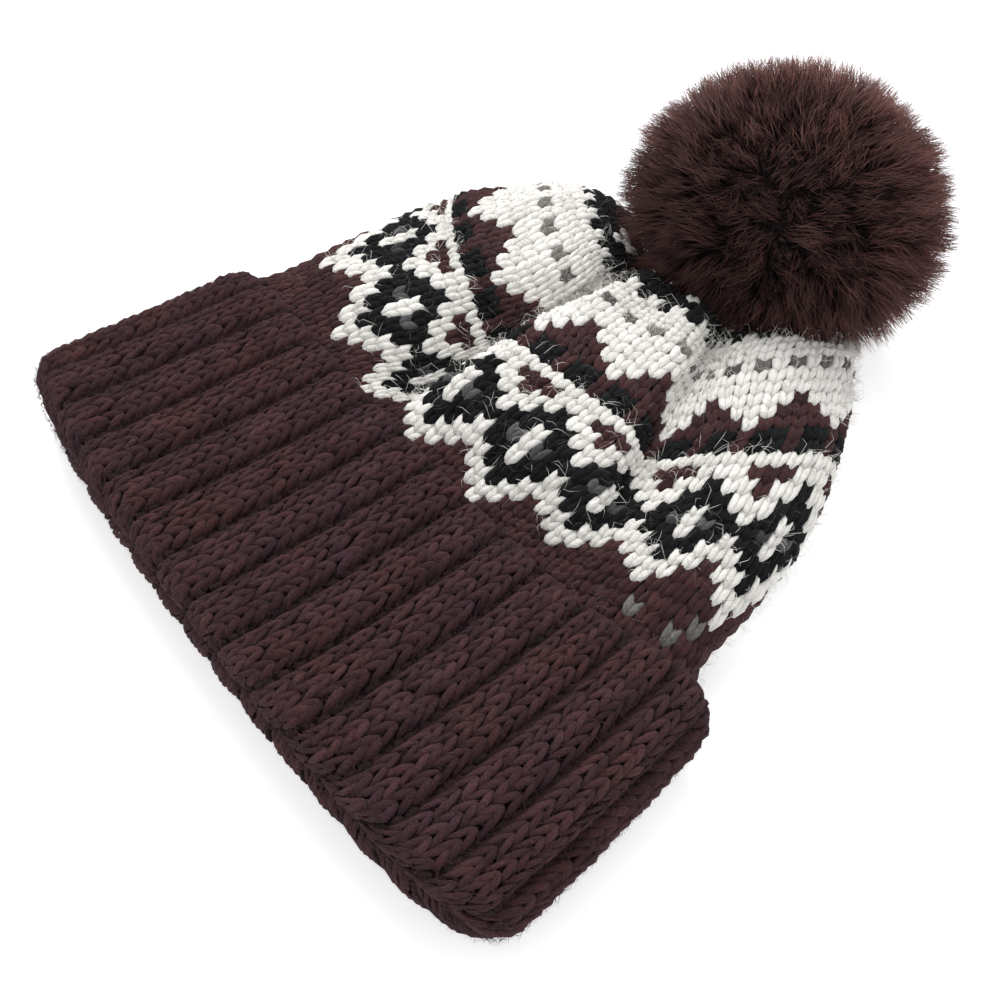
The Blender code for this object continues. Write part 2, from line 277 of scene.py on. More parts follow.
def pompom_middle():
    join = level(0.0, INNER_LAYER + JOIN_GAP)
    return np.array([POMPOM_SHIFT, join + CROWN_LENGTH + POMPOM_REACH, POMPOM_HEIGHT / 2.0])


def clear_of_pompom(points):
    """Moves points out of the pompom's outline, which dents the crown."""
    middle = pompom_middle()
    wide = POMPOM_WIDTH / 2.0 + SEAT_GAP
    reach = np.array([wide, wide, POMPOM_HEIGHT / 2.0 + SEAT_GAP])
    away = points - middle
    share = np.minimum(np.linalg.norm(away / reach, axis=1), 1.0)
    return middle + away / share[:, None]


def fold_depth(section, half, rows):
    """How far the folds press in each point of a section, at a share of the stitch rows."""
    depth = np.zeros(len(section))
    face = np.sign(outward(section)[:, 1])
    for fold in FOLDS:
        climb = (rows - fold.first) / (fold.last - fold.first)
        place = mix(fold.low, fold.high, climb) * half
        apart = section[:, 0] - place
        reach = np.where(apart < 0.0, fold.left, fold.right) * CROWN_HEIGHT
        shown = ease(climb * 2.5 + 0.4) * (1.0 - ease((rows - fold.last) / (1.0 - fold.last)))
        valley = np.exp(-(apart / reach) ** 2) * (face == fold.face)
        depth += fold.depth * CROWN_HEIGHT * shown * valley
    return depth


def crown_curve(rows):
    """The crown's outline at a share of its stitch rows, as closely spaced points."""
    value = {name: follow(STATIONS, rows, k) for k, name in enumerate(Station._fields)}
    inset = CUFF_WALL + CUFF_SLIT
    half = value["width"] * CROWN_WIDTH / 2.0
    lift = max(value["lift"], 0.0) * CROWN_HEIGHT
    far = outline(half, value["height"] * CROWN_HEIGHT, lift, value["round"])
    far = far - outward(far) * fold_depth(far, half, rows)[:, None]
    near = outline(CUFF_WIDTH / 2.0 - inset, CUFF_THICKNESS - inset, inset, CUFF_ROUND)
    join = INNER_LAYER + JOIN_GAP
    tilt = math.radians(value["tilt"])
    lead = value["bow"] * CROWN_WIDTH * np.abs(far[:, 0] / half) ** BOW_POWER
    far_x = value["centre"] * CROWN_WIDTH + far[:, 0] * math.cos(tilt) - lead * math.sin(tilt)
    far_y = level(0.0, join) + far[:, 0] * math.sin(tilt) + lead * math.cos(tilt)
    y = mix(level(near[:, 0], join), far_y, ease(rows / SET_ROWS)) + value["along"] * CROWN_LENGTH
    puff = ease((y - level(near[:, 0], CUFF_HEIGHT)) / PUFF_LENGTH + 0.1)
    x = mix(near[:, 0], far_x, puff)
    z = np.maximum(mix(near[:, 1], far[:, 1], puff), mix(inset, lift, puff))
    return clear_of_pompom(np.stack([x, y, z], axis=1))


class Surface:
    """A grid of points with outward normals, read smoothly between its samples."""

    def __init__(self, points, first, step, steps):
        self.points = points
        self.first = first
        self.step = step
        self.steps = steps
        along = np.gradient(points, axis=0)
        around = (np.roll(points, -1, axis=1) - np.roll(points, 1, axis=1)) / 2.0
        normal = np.cross(around, along)
        length = np.linalg.norm(normal, axis=2)[..., None]
        self.normals = normal / np.maximum(length, 1e-12)
        self.width = np.linalg.norm(around, axis=2) * steps

    def read(self, field, row, column):
        count = self.points.shape[1]
        i = np.clip((row - self.first) / self.step, 0.0, self.points.shape[0] - 1.001)
        j = column * self.steps
        i0 = np.floor(i).astype(int)
        j0 = np.floor(j).astype(int)
        u = i - i0
        v = j - j0
        if field.ndim == 3:
            u = u[..., None]
            v = v[..., None]
        low = field[i0, j0 % count] * (1 - v) + field[i0, (j0 + 1) % count] * v
        high = field[i0 + 1, j0 % count] * (1 - v) + field[i0 + 1, (j0 + 1) % count] * v
        return low * (1 - u) + high * u

    def place(self, row, column, height):
        point = self.read(self.points, row, column)
        normal = self.read(self.normals, row, column)
        normal /= np.maximum(np.linalg.norm(normal, axis=-1), 1e-9)[..., None]
        placed = point + normal * np.asarray(height)[..., None]
        low = placed[..., 2] < SQUASH
        placed[..., 2][low] = SQUASH * np.exp(placed[..., 2][low] / SQUASH - 1.0)
        return placed


def tuck(points, share):
    """Draws the crown's right edge in above the cuff, and swells the left lobe."""
    reach = np.clip(points[:, 0] / (CROWN_WIDTH / 2.0), 0.0, 1.0) ** 3
    drawn = np.interp(share, (0.0, 0.06, 0.35, 0.70, 0.90), (0.5, 1.0, 0.9, 0.5, 0.0))
    points[:, 0] -= SIDE_TUCK * reach * drawn
    across = np.exp(-((points[:, 0] - LOBE_PLACE) / LOBE_REACH) ** 2)
    along = np.interp(share, (0.55, 0.72, 0.88, 0.97), (0.0, 1.0, 1.0, 0.0))
    points[:, 2] += LOBE_RISE * across * along * ease(points[:, 2] / 0.03)
    return points


def flare(points, height):
    """Stands the cuff's right end out, most at the free edge, and moves it into place."""
    share = ease((points[:, 0] - FLARE_START) / FLARE_START) * (height / CUFF_HEIGHT) ** 2
    return points + np.array(FLARE) * share[:, None] + SHIFT


def crown_surface():
    """The crown on a grid of stitches, and on an even grid with each point's row."""
    shares = np.linspace(0.0, 1.0, 121)
    columns = np.arange(STITCHES * COLUMN_STEPS) / COLUMN_STEPS
    signed = np.where(columns > STITCHES / 2, columns - STITCHES, columns)
    levels = [spread.rows for spread in SPREADS]
    sheet = []
    for share in shares:
        places = [
            np.interp(share, levels, [spread.places[k] for spread in SPREADS])
            for k in range(len(COLUMNS))
        ]
        ring = space_evenly(crown_curve(share), np.interp(signed, COLUMNS, places) % 1.0)
        sheet.append(tuck(ring, share))
    sheet = np.array(sheet)
    run = np.concatenate([
        np.zeros((1, len(columns))),
        np.cumsum(np.linalg.norm(np.diff(sheet, axis=0), axis=2), axis=0),
    ])
    rows = np.arange(FIRST_ROW * ROW_STEPS, (LAST_ROW + 3) * ROW_STEPS) / ROW_STEPS
    grid = np.zeros((len(rows), len(columns), 3))
    base_rows = np.zeros((len(shares), len(columns)))
    for k in range(len(columns)):
        climb = [np.interp(signed[k], [item.column for item in CLIMBS], values)
                 for values in list(zip(*CLIMBS))[1:]]
        levels = climb[:5] + [1.0]
        set_run = np.interp(levels[0], shares, run[:, k])
        low = np.interp(set_run - (CLIMB_ROWS[0] - rows) * climb[5], run[:, k], shares)
        share = np.where(rows < CLIMB_ROWS[0], low, np.interp(rows, CLIMB_ROWS, levels))
        for axis in range(3):
            grid[:, k, axis] = np.interp(share, shares, sheet[:, k, axis])
        base_rows[:, k] = np.where(
            shares < levels[0],
            CLIMB_ROWS[0] - (set_run - run[:, k]) / climb[5],
            np.interp(shares, levels, CLIMB_ROWS),
        )
    surface = Surface(grid + SHIFT, FIRST_ROW, 1.0 / ROW_STEPS, COLUMN_STEPS)
    return surface, sheet + SHIFT, base_rows


def cuff_depth(run):
    """Depth under the outer face and height above the fold, at a run from the free edge."""
    bend = CUFF_WALL + CUFF_SLIT / 2.0
    straight = CUFF_HEIGHT - bend
    angle = np.clip((run - straight) / bend, 0.0, math.pi)
    beyond = max(run - straight - math.pi * bend, 0.0)
    if run <= straight:
        return 0.0, CUFF_HEIGHT - run
    return bend - bend * math.cos(angle), bend - bend * math.sin(angle) + beyond


def cuff_surface():
    """The cuff's outer face from the free edge, round the fold and up the inner layer."""
    runs = np.arange(0.0, CUFF_RUN, RUN_STEP)
    around = np.arange(RIB_COUNT * AROUND_STEPS) / (RIB_COUNT * AROUND_STEPS)
    grid = []
    for run in runs:
        depth, height = cuff_depth(run)
        drift = -RIB_LEAN * max(1.0 - height / CUFF_HEIGHT, 0.0) ** 2
        half = CUFF_WIDTH / 2.0 - depth
        section = outline(half, CUFF_THICKNESS - depth, depth, CUFF_ROUND)
        section = space_evenly(section, around, drift)
        ring = np.stack([section[:, 0], level(section[:, 0], height), section[:, 1]], axis=1)
        grid.append(flare(ring, height))
    surface = Surface(np.array(grid), 0.0, RUN_STEP, AROUND_STEPS)
    surface.normals = -surface.normals
    return surface


def material(name, roughness, sheen, bump, scale, stretch=(1.0, 1.0, 1.0), contrast=0.17, glow=0.0):
    """Wool or fur whose tone comes from each stitch and whose fibres come from noise."""
    made = bpy.data.materials.new(name)
    made.use_nodes = True
    nodes = made.node_tree.nodes
    links = made.node_tree.links
    shader = nodes["Principled BSDF"]
    shader.inputs["Roughness"].default_value = roughness
    shader.inputs["Specular IOR Level"].default_value = 0.15
    shader.inputs["Sheen Weight"].default_value = sheen
    shader.inputs["Sheen Roughness"].default_value = 0.6
    shader.inputs["Subsurface Weight"].default_value = glow
    shader.inputs["Subsurface Radius"].default_value = (1.0, 1.0, 1.0)
    shader.inputs["Subsurface Scale"].default_value = 0.002
    tone = nodes.new("ShaderNodeAttribute")
    tone.attribute_name = "tone"
    coords = nodes.new("ShaderNodeTexCoord")
    shape = nodes.new("ShaderNodeMapping")
    shape.inputs["Scale"].default_value = stretch
    links.new(coords.outputs["UV"], shape.inputs["Vector"])
    noise = nodes.new("ShaderNodeTexNoise")
    noise.inputs["Scale"].default_value = scale
    noise.inputs["Detail"].default_value = 3.0
    links.new(shape.outputs["Vector"], noise.inputs["Vector"])
    ramp = nodes.new("ShaderNodeMapRange")
    ramp.inputs["From Min"].default_value = 0.3
    ramp.inputs["From Max"].default_value = 0.7
    ramp.inputs["To Min"].default_value = 1.0 - contrast
    ramp.inputs["To Max"].default_value = 1.0 + contrast
    links.new(noise.outputs["Fac"], ramp.inputs["Value"])
    blend = nodes.new("ShaderNodeVectorMath")
    blend.operation = "SCALE"
    links.new(tone.outputs["Color"], blend.inputs[0])
    links.new(ramp.outputs["Result"], blend.inputs["Scale"])
    links.new(blend.outputs["Vector"], shader.inputs["Base Color"])
    if bump:
        relief = nodes.new("ShaderNodeBump")
        relief.inputs["Strength"].default_value = bump
        relief.inputs["Distance"].default_value = 0.0009
        links.new(noise.outputs["Fac"], relief.inputs["Height"])
        links.new(relief.outputs["Normal"], shader.inputs["Normal"])
    return made


def taken_from(bm):
    """A bmesh's vertices and faces, with the faces in the same order on each run."""
    bm.verts.ensure_lookup_table()
    bm.verts.index_update()
    verts = np.array([vert.co[:] for vert in bm.verts])
    faces = [[vert.index for vert in face.verts] for face in bm.faces]
    bm.free()
    return verts, sorted(faces, key=sorted)


def template(make):
    """Vertices and faces of a small shape made with a bmesh operator."""
    bm = bmesh.new()
    make(bm)
    return taken_from(bm)


def joined(name, points, faces, tones, uvs, look):
    """One mesh of many copies.  points (copies, verts, 3), tones (copies, 3) or per vertex."""
    copies, size = points.shape[:2]
    mesh = bpy.data.meshes.new(name)
    counts = np.tile([len(face) for face in faces], copies)
    corners = np.concatenate([np.array(face) for face in faces])
    loops = (np.arange(copies)[:, None] * size + corners[None, :]).ravel()
    mesh.vertices.add(copies * size)
    mesh.vertices.foreach_set("co", points.astype(np.float32).ravel())
    mesh.loops.add(len(loops))
    mesh.loops.foreach_set("vertex_index", loops.astype(np.int32))
    mesh.polygons.add(len(counts))
    starts = np.concatenate([[0], np.cumsum(counts)[:-1]])
    mesh.polygons.foreach_set("loop_start", starts.astype(np.int32))
    mesh.polygons.foreach_set("loop_total", counts.astype(np.int32))
    mesh.update(calc_edges=True)
    if tones.ndim == 2:
        tones = np.repeat(tones[:, None, :], size, axis=1)
    colours = np.concatenate([tones, np.ones((copies, size, 1))], axis=2)
    tone = mesh.color_attributes.new("tone", "FLOAT_COLOR", "POINT")
    tone.data.foreach_set("color", colours.astype(np.float32).ravel())
    layer = mesh.uv_layers.new(name="UVMap")
    flat = (uvs if uvs.ndim == 3 else np.repeat(uvs[None], copies, axis=0)).reshape(-1, 2)
    layer.data.foreach_set("uv", flat[loops].astype(np.float32).ravel())
    mesh.materials.append(look)
    mesh.shade_smooth()
    thing = bpy.data.objects.new(name, mesh)
    bpy.context.scene.collection.objects.link(thing)
    return thing


LEG_VERTS, LEG_FACES = template(
    lambda bm: bmesh.ops.create_uvsphere(bm, u_segments=6, v_segments=5, radius=1.0)
)


def legs(surface, row, column, unit_rows, unit_columns, look, side, jitter, relief=None):
    """Bends the leg of a V onto a surface at each stitch.

    row and column place the V's tip.  unit_rows and unit_columns turn the rows and stitches
    of the leg into the surface's own.  Gives points (stitches, verts, 3).
    """
    count = len(row)
    along = (LEG_VERTS[:, 2] + 1.0) / 2.0
    apart = np.linalg.norm(LEG_VERTS[:, :2], axis=1)
    ring = LEG_VERTS[:, :2] / np.maximum(apart, 1e-9)[:, None]
    ring[apart < 1e-6] = 0.0
    reach, middle, wide, high, thick = (
        np.interp(along, look["along"], look[part])
        for part in ("reach", "middle", "wide", "high", "thick")
    )
    swell = 1.0 + jitter * rng.normal(size=(count, 1))
    sway = 0.04 * rng.normal(size=(count, 1)) * jitter * 5.0
    up = reach[None, :] * (1.0 + 0.4 * jitter * rng.normal(size=(count, 1))) - 0.02
    across = side * (middle[None, :] + sway) + ring[None, :, 0] * wide[None, :] * swell
    lift = high[None, :] + ring[None, :, 1] * thick[None, :] * swell
    rows = row[:, None] + up * unit_rows
    columns = column[:, None] + across * unit_columns
    if relief:
        lift = lift * np.interp(rows, (0.084, 0.096), (1.0, 0.4)) + relief(rows, columns)
    return surface.place(rows, columns, lift)


# One leg of a V, from its tip up.  reach: rows.  middle, wide: shares of a stitch.
# high, thick: metres off the surface.
CROWN_LEG = {
    "along": (0.0, 0.07, 0.25, 0.50, 0.75, 0.93, 1.0),
    "reach": (0.0, 0.08, 0.45, 0.92, 1.35, 1.68, 1.82),
    "middle": (0.07, 0.11, 0.20, 0.26, 0.33, 0.39, 0.41),
    "wide": (0.0, 0.21, 0.315, 0.315, 0.27, 0.17, 0.0),
    "high": (-0.0006, -0.0003, 0.0003, 0.0001, -0.0006, -0.0015, -0.0019),
    "thick": (0.0, 0.0012, 0.0018, 0.0018, 0.0015, 0.0010, 0.0),
}
CUFF_LEG = {
    "along": (0.0, 0.07, 0.25, 0.50, 0.75, 0.93, 1.0),
    "reach": (0.0, 0.08, 0.44, 0.90, 1.40, 1.76, 1.90),
    "middle": (-0.02, 0.03, 0.14, 0.26, 0.39, 0.48, 0.51),
    "wide": (0.0, 0.16, 0.235, 0.245, 0.215, 0.14, 0.0),
    "high": (-0.0005, -0.0001, 0.0005, 0.0003, -0.0003, -0.0012, -0.0016),
    "thick": (0.0, 0.0010, 0.0015, 0.0015, 0.0012, 0.0008, 0.0),
}


def rib_relief(run, columns):
    """How far the knit sinks from a rib's crest, at a run from the cuff's free edge."""
    apart = np.abs((columns % 1.0) - 0.5) / 0.5
    depth = RELIEF_GAIN * np.interp(run, (0.0, 0.022, 0.075, 0.092, 0.102), (0.5, 1.0, 1.0, 0.5, 0.15))
    return -RIB_RELIEF * apart ** 2.6 * depth - EDGE_SINK * (1.0 - ease(run / 0.012))


LEG_UV = np.stack([np.arctan2(LEG_VERTS[:, 1], LEG_VERTS[:, 0]) / math.tau, LEG_VERTS[:, 2]], axis=1)

# Colours of the yarns and of the fur
WHITE = np.array([0.82, 0.80, 0.755])
BLACK = np.array([0.0060, 0.0068, 0.0076])
BROWN = np.array([0.051, 0.0200, 0.0212])
GREY = np.array([0.165, 0.158, 0.142])
DARK_GREY = np.array([0.075, 0.075, 0.078])
CUFF_TONE = np.array([0.068, 0.0285, 0.0320])
# Painted shade and light: hairs run from near-black roots, standing for the shade deep in the fur, to pale
# tips that light the pompom's outline; the brown itself is the fur's own colour.
FUR_ROOT_SHADED = np.array([0.016, 0.0070, 0.0078])
FUR_TIP = np.array([0.135, 0.062, 0.054])


def stitch_kind(row, column):
    """The chart's letter for a row and a signed column."""
    place = int(column) % 6
    if row < 0:
        return "G" if (row, int(column)) in FLECKS else "B"
    return CHART[min(row, len(CHART) - 1)][place]


def own_uv(count):
    """Leg UVs, each copy moved so that its fibres differ."""
    return LEG_UV[None] + rng.uniform(0.0, 40.0, size=(count, 1, 2))


def knit_crown(surface):
    """Every V of the crown, one piece for each colour of yarn."""
    rows, columns, kinds = [], [], []
    for row in range(FIRST_ROW, LAST_ROW + 1):
        for column in range(STITCHES):
            signed = column if column <= STITCHES // 2 else column - STITCHES
            rows.append(row)
            columns.append(column)
            kinds.append(stitch_kind(row, signed))
    rows = np.array(rows, float)
    columns = np.array(columns, float)
    kinds = np.array(kinds)
    tip = surface.place(rows + 0.4, columns, np.zeros(len(rows))) - SHIFT
    width = surface.read(surface.width, rows + 0.4, columns)
    span = np.linalg.norm(
        surface.place(rows + 1.2, columns, np.zeros(len(rows))) -
        surface.place(rows + 0.2, columns, np.zeros(len(rows))), axis=1)
    free = level(tip[:, 0], CUFF_HEIGHT)
    kept = (tip[:, 1] > free - 0.006) & (width > 0.0011) & (span > 0.0012)
    pieces = {}
    looks = {
        "white": ("W", WHITE, 0.15, 0.12, 0.35),
        "black": ("K", BLACK, 0.02, 0.35, 0.0),
        "brown": ("B", BROWN, 0.04, 0.30, 0.0),
        "grey": ("GD", GREY, 0.1, 0.40, 0.0),
    }
    for name, (letters, tone, sheen, contrast, glow) in looks.items():
        chosen = kept & np.isin(kinds, list(letters))
        count = int(chosen.sum())
        row = rows[chosen] + rng.normal(size=count) * 0.05
        column = columns[chosen] + rng.normal(size=count) * 0.04
        points = np.concatenate([
            legs(surface, row, column, 1.0, 1.0, CROWN_LEG, side, 0.07) for side in (-1.0, 1.0)
        ])
        spread = {"white": 0.04, "black": 0.25, "brown": 0.16, "grey": 0.30}[name]
        tone = np.where(kinds[chosen][:, None] == "D", DARK_GREY, tone)
        shade = 1.0 + np.clip(rng.normal(size=(count, 1)), -2.0, 2.0) * spread
        tones = np.tile(np.clip(tone * shade, 0.0, 0.9), (2, 1))
        look = material("wool_" + name, 0.95, sheen, 0.8, 3.0, (5.0, 1.2, 1.0), contrast, glow)
        pieces[name] = joined("stitches_" + name, points, LEG_FACES, tones, own_uv(2 * count), look)
    return pieces


def knit_cuff(surface):
    """The ribs' Vs, with their tips towards the free edge, and the bumps in the valleys."""
    count_rows = int((CUFF_HEIGHT + PAST_FOLD) / V_PITCH)
    rows, columns = [], []
    for rib in range(RIB_COUNT):
        for place in V_PLACES:
            for k in range(count_rows):
                rows.append(FIRST_V + k * V_PITCH)
                columns.append(rib + place)
    rows = np.array(rows) + rng.normal(size=len(rows)) * 0.0005
    columns = np.array(columns) + rng.normal(size=len(columns)) * 0.014
    points = np.concatenate([
        legs(surface, rows, columns, V_PITCH, V_WIDTH, CUFF_LEG, side, 0.12, rib_relief)
        for side in (-1.0, 1.0)
    ])
    shade = 1.0 + rng.normal(size=(2 * len(rows), 1)) * 0.15
    patch = np.sin(columns * 1.9 + 2.5 * np.sin(rows * 70.0)) * np.sin(rows * 95.0 + columns * 0.7)
    tint = 1.0 + np.tile(patch, 2)[:, None] * np.array([0.10, 0.04, -0.08])
    # Painted shade: stitches towards the ribs' valleys are darkened, down to 0.38 of their tone at the
    # valley floor.
    valley = 1.0 - 0.62 * (np.abs((columns % 1.0) - 0.5) / 0.5) ** 3
    tones = np.tile(CUFF_TONE, (2 * len(rows), 1)) * shade * tint * np.tile(valley, 2)[:, None]
    look = material("wool_cuff", 0.95, 0.03, 1.0, 4.0, (5.0, 1.5, 1.0), 0.38)
    ribs = joined("cuff_ribs", points, LEG_FACES, tones, own_uv(len(points)), look)

    bump_verts, bump_faces = template(
        lambda bm: bmesh.ops.create_uvsphere(bm, u_segments=6, v_segments=3, radius=1.0)
    )
    rows, columns = [], []
    for rib in range(RIB_COUNT):
        for k in range(count_rows):
            rows.append(FIRST_V + k * V_PITCH)
            columns.append(rib)
    rows = np.array(rows) + rng.normal(size=len(rows)) * 0.0006
    columns = np.array(columns) + rng.normal(size=len(columns)) * 0.015
    lift = rib_relief(rows, columns) + 0.0001 + rng.normal(size=len(rows)) * 0.0003
    points = surface.place(
        rows[:, None] + bump_verts[None, :, 0] * 0.0024,
        columns[:, None] + bump_verts[None, :, 1] * 0.09,
        lift[:, None] + bump_verts[None, :, 2] * 0.0013,
    )
    shade = 1.0 + rng.normal(size=(len(rows), 1)) * 0.2
    uv = np.stack([bump_verts[:, 0], bump_verts[:, 1]], axis=1)
    # Painted shade: the bumps deep in the valleys are the cuff's yarn at half its tone.
    bumps = joined("cuff_valleys", points, bump_faces, CUFF_TONE * shade * 0.5, uv, look)
    return ribs, bumps


def shell(name, rings, tones, look, wall):
    """A tube of rings.  With a wall its last ring is shut, and else joined to the first."""
    bm = bmesh.new()
    tone = bm.verts.layers.float_color.new("tone")
    made = []
    for ring, colours in zip(rings, tones):
        verts = []
        for point, colour in zip(ring, colours):
            vert = bm.verts.new(point)
            vert[tone] = (*colour, 1.0)
            verts.append(vert)
        made.append(verts)
    count = len(made[0])
    for first, second in zip(made, made[1:]):
        for k in range(count):
            n = (k + 1) % count
            bm.faces.new((first[k], first[n], second[n], second[k]))
    if wall:
        bmesh.ops.contextual_create(bm, geom=made[-1])
    else:
        for k in range(count):
            n = (k + 1) % count
            bm.faces.new((made[-1][k], made[-1][n], made[0][n], made[0][k]))
    bmesh.ops.recalc_face_normals(bm, faces=bm.faces)
    mesh = bpy.data.meshes.new(name)
    bm.to_mesh(mesh)
    bm.free()
    mesh.uv_layers.new(name="UVMap")
    mesh.materials.append(look)
    mesh.shade_smooth()
    thing = bpy.data.objects.new(name, mesh)
    bpy.context.scene.collection.objects.link(thing)
    if wall:
        solid = thing.modifiers.new("knit wall", "SOLIDIFY")
        solid.thickness = wall
        solid.offset = -1.0
        solid.use_rim = True
    return thing


def crown_base(sheet, base_rows):
    """The cloth under the crown's stitches, in the pattern's colours darkened as painted shade between the
    stitches.
    """
    around = np.roll(sheet, -1, axis=1) - np.roll(sheet, 1, axis=1)
    normal = np.cross(around, np.gradient(sheet, axis=0))
    normal /= np.maximum(np.linalg.norm(normal, axis=2), 1e-12)[..., None]
    inner = sheet - normal * CLOTH_SINK
    # Painted shade: the cloth seen between the stitches takes each yarn's colour at 0.6 to 0.8 of its tone.
    shaded_tone_of = {
        "W": WHITE * 0.65, "K": BLACK * 0.8, "B": BROWN * 0.7, "G": GREY * 0.7, "D": DARK_GREY * 0.6,
    }
    step = COLUMN_STEPS // 2
    rings, tones = [], []
    for k in range(0, len(sheet), 2):
        rings.append(inner[k, ::step])
        colours = []
        for j in range(0, sheet.shape[1], step):
            column = j / COLUMN_STEPS
            signed = column if column <= STITCHES / 2 else column - STITCHES
            letter = stitch_kind(int(math.floor(base_rows[k, j] - 0.7)), round(signed))
            colours.append(shaded_tone_of[letter])
        tones.append(colours)
    look = material("wool_base", 0.95, 0.02, 0.0, 3.0)
    return shell("crown_cloth", rings, tones, look, CLOTH_WALL)


def cuff_base():
    """The band under the cuff's stitches, closed round the fold and the hidden layer."""
    double = 2.0 * CUFF_WALL + CUFF_SLIT
    bend = double / 2.0
    inner_face = CUFF_WALL + CUFF_SLIT
    sink = CUFF_CLOTH_SINK
    stations = [
        (0.40 * CUFF_WALL, CUFF_HEIGHT - 0.0006, 0.6),
        (sink, CUFF_HEIGHT - 0.35 * CUFF_WALL, 0.8),
        (sink, mix(bend, CUFF_HEIGHT, 0.62), 1.0),
        (sink, mix(bend, CUFF_HEIGHT, 0.28), 1.0),
    ]
    for angle in (0.0, 30.0, 60.0, 90.0, 120.0, 150.0, 180.0):
        turn = math.radians(angle)
        tight = bend - sink
        stations.append((
            bend - tight * math.cos(turn), bend - tight * math.sin(turn), 1.0 - angle / 180.0))
    stations += [
        (double, INNER_LAYER, 0.0),
        (inner_face, INNER_LAYER, 0.0),
        (inner_face, bend, 0.0),
        (CUFF_WALL, bend, 0.0),
        (CUFF_WALL, CUFF_HEIGHT - 0.25 * CUFF_WALL, 0.0),
    ]
    around = np.arange(RIB_COUNT * 12) / (RIB_COUNT * 12)
    phase = (np.arange(RIB_COUNT * 12) / 12.0) % 1.0
    profile = np.interp(np.abs(phase - np.round(phase)), (0.0, 0.09, 0.22), (1.0, 0.85, 0.1))
    rings, tones = [], []
    for depth, height, relief in stations:
        drift = -RIB_LEAN * max(1.0 - height / CUFF_HEIGHT, 0.0) ** 2
        half = CUFF_WIDTH / 2.0 - depth
        section = space_evenly(outline(half, CUFF_THICKNESS - depth, depth, CUFF_ROUND), around, drift)
        section = section - outward(section) * (RIB_RELIEF * relief * profile)[:, None]
        ring = np.stack([section[:, 0], level(section[:, 0], height), section[:, 1]], axis=1)
        rings.append(flare(ring, height))
        # Painted shade: the cloth between the stitches is the cuff's yarn at 0.55 of its tone, and down to
        # 0.25 deep in the ribs' valleys.
        tones.append([CUFF_TONE * mix(0.55, 0.25, share * relief) for share in profile])
    look = material("wool_cuff_base", 0.95, 0.02, 0.0, 3.0)
    return shell("cuff_cloth", rings, tones, look, 0.0)


def strand_template(levels):
    """A three-sided hair with a closed root, as rings and a tip."""
    bm = bmesh.new()
    bmesh.ops.create_circle(bm, cap_ends=True, segments=3, radius=1.0)
    edges = list(bm.edges)
    for k in range(1, levels):
        made = bmesh.ops.extrude_edge_only(bm, edges=edges)
        verts = [item for item in made["geom"] if isinstance(item, bmesh.types.BMVert)]
        for vert in verts:
            vert.co.z = k / levels
        sides = [item for item in made["geom"] if isinstance(item, bmesh.types.BMEdge)]
        edges = [edge for edge in sides if edge.is_boundary]
    tip = bm.verts.new((0.0, 0.0, 1.0))
    for edge in edges:
        bm.faces.new((edge.verts[0], edge.verts[1], tip))
    bmesh.ops.recalc_face_normals(bm, faces=bm.faces)
    return taken_from(bm)


def strands(name, root, paths, radius, tones_root, tones_tip, look, levels):
    """Joined hairs.  paths(share) gives the middle line's points at a share of the length."""
    verts, faces = strand_template(levels)
    count = len(root)
    share = verts[:, 2]
    ahead = paths(np.minimum(share + 0.02, 1.02))
    middle = paths(share)
    along = ahead - middle
    along /= np.maximum(np.linalg.norm(along, axis=2), 1e-9)[..., None]
    side = np.cross(along, rng.normal(size=(count, 1, 3)))
    side /= np.maximum(np.linalg.norm(side, axis=2), 1e-9)[..., None]
    other = np.cross(along, side)
    size = radius[:, None] * (1.0 - 0.75 * share[None, :])
    points = middle + side * (verts[None, :, 0] * size)[..., None]
    points += other * (verts[None, :, 1] * size)[..., None]
    points[..., 2] = np.maximum(points[..., 2], FLOOR_GAP)
    fade = share[None, :, None]
    tones = tones_root[:, None, :] * (1 - fade) + tones_tip[:, None, :] * fade
    uv = np.stack([verts[:, 0], verts[:, 2]], axis=1)
    return joined(name, points, faces, tones, uv, look)


